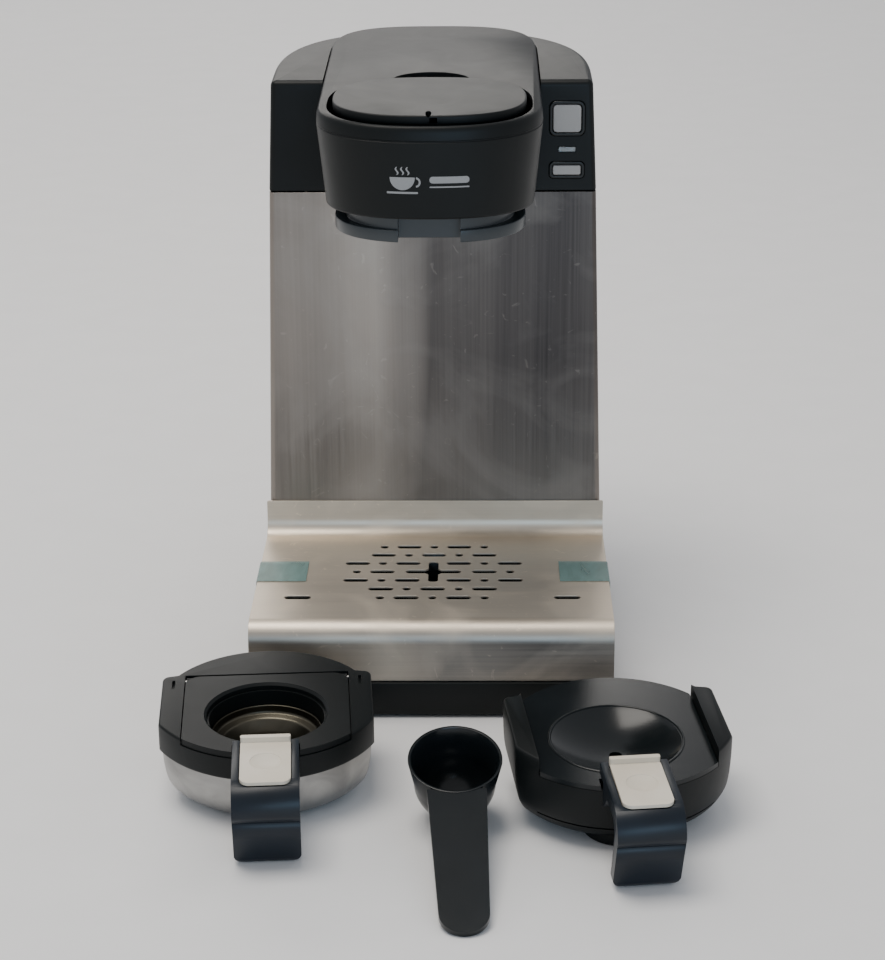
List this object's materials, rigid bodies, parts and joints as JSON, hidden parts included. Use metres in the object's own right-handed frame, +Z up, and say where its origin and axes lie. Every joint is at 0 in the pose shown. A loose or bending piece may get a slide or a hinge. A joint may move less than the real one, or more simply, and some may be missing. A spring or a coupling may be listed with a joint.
{
  "type": "commercial coffee brewer",
  "caption": "Single-serve coffee brewer with a steel column, hooded brew head with a pour-in lid, slotted drip cover, two brew drawers and a scoop.",
  "frame": {"origin": "on the counter straight under the brew axis, which is the centre of the drip cover's cross-shaped hole", "axes": "+X to the brewer's right as seen from the front, +Y from the front to the back, +Z up"},
  "size_m": [0.2676, 0.4586, 0.3059],
  "materials": {
    "black_housing": "matte moulded charcoal black",
    "dark_plastic": "satin to glossy black",
    "brushed_steel": "vertically brushed stainless steel, warm grey",
    "plain_steel": "satin stainless steel",
    "rubber": "matte black rubber",
    "grey_button": "light warm grey moulded plastic",
    "cream_latch": "off-white moulded plastic",
    "clear_plastic": "clear to milky plastic",
    "tape": "thin blue-green protective tape",
    "brass": "turned brass",
    "circuit_board": "green circuit board",
    "natural_plastic": "natural white plastic"
  },
  "bodies": {
    "machine": {"base_pan": "black_housing", "rubber_foot_1": "rubber", "rubber_foot_2": "rubber", "rubber_foot_3": "rubber", "rubber_foot_4": "rubber", "base_screw_1": "plain_steel", "base_screw_2": "plain_steel", "base_screw_3": "plain_steel", "base_screw_4": "plain_steel", "front_panel": "brushed_steel", "rear_shell": "black_housing", "cord_inlet_gland": "rubber", "hood_shell": "black_housing", "head_shell": "black_housing", "lid_hinge_pin": "plain_steel", "fill_basin": "dark_plastic", "rail_housing": "dark_plastic", "spray_plate": "plain_steel", "spray_seal": "rubber", "spray_needle": "plain_steel", "brew_bezel": "dark_plastic", "pulse_bezel": "dark_plastic", "indicator_window": "clear_plastic", "control_board": "circuit_board", "tank_bracket": "plain_steel", "heating_tank": "plain_steel", "tank_cover": "plain_steel", "heating_element": "plain_steel", "thermostat": "natural_plastic", "thermal_fuse": "brass", "cold_reservoir": "natural_plastic", "outlet_tube": "clear_plastic", "spray_elbow": "natural_plastic", "fill_tube": "clear_plastic", "air_pump": "dark_plastic", "vent_valve": "brass"},
    "fill_lid": {"fill_lid": "black_housing"},
    "brew_button": {"brew_button": "grey_button"},
    "pulse_button": {"pulse_button": "grey_button"},
    "drip_basin": {"drip_basin": "dark_plastic"},
    "drip_cover": {"drip_cover": "brushed_steel", "tape_left": "tape", "tape_right": "tape"},
    "pod_drawer": {"pod_drawer_frame": "black_housing", "pod_lid_pin": "plain_steel", "pod_seal": "rubber", "pod_bowl": "plain_steel", "pod_cup": "plain_steel", "pod_screen": "plain_steel", "pod_handle": "black_housing", "pod_latch_spring": "plain_steel"},
    "pod_lid": {"pod_lid": "black_housing"},
    "pod_latch": {"pod_latch": "cream_latch"},
    "water_drawer": {"water_drawer_body": "black_housing", "water_drawer_deck": "black_housing", "water_handle": "black_housing", "water_latch_spring": "plain_steel"},
    "water_latch": {"water_latch": "cream_latch"},
    "scoop": {"scoop": "dark_plastic"}
  },
  "joints": [
    {"name": "lid_hinge", "type": "hinge", "parent": "machine", "child": "fill_lid", "pos_m": [0, 0.038, 0.2956], "axis": [-1, 0, 0], "range_deg": [0, 80]},
    {"name": "brew_press", "type": "slide", "parent": "machine", "child": "brew_button", "axis": [0, 1, 0], "range_m": [0, 0.0015], "stiffness_N_per_m": 600},
    {"name": "pulse_press", "type": "slide", "parent": "machine", "child": "pulse_button", "axis": [0, 1, 0], "range_m": [0, 0.001], "stiffness_N_per_m": 600},
    {"name": "basin_lift", "type": "slide", "parent": "machine", "child": "drip_basin", "axis": [0, 0, 1], "range_m": [0, 0.06]},
    {"name": "cover_lift", "type": "slide", "parent": "drip_basin", "child": "drip_cover", "axis": [0, 0, 1], "range_m": [0, 0.06]},
    {"name": "pod_drawer_lift", "type": "slide", "parent": "machine", "child": "pod_drawer", "axis": [0, 0, 1], "range_m": [0, 0.1]},
    {"name": "pod_lid_hinge", "type": "hinge", "parent": "pod_drawer", "child": "pod_lid", "pos_m": [-0.07823, -0.11415, 0.04144], "axis": [-0.9973, -0.0732, 0], "range_deg": [0, 100]},
    {"name": "pod_latch_press", "type": "slide", "parent": "pod_drawer", "child": "pod_latch", "axis": [-0.0034, 0.047, -0.9989], "range_m": [0, 0.0015], "stiffness_N_per_m": 500},
    {"name": "water_drawer_lift", "type": "slide", "parent": "machine", "child": "water_drawer", "axis": [0, 0, 1], "range_m": [0, 0.1]},
    {"name": "water_latch_press", "type": "slide", "parent": "water_drawer", "child": "water_latch", "axis": [-0.0062, 0.052, -0.9986], "range_m": [0, 0.0015], "stiffness_N_per_m": 500},
    {"name": "scoop_lift", "type": "slide", "parent": "machine", "child": "scoop", "axis": [0, 0, 1], "range_m": [0, 0.12]}
  ]
}
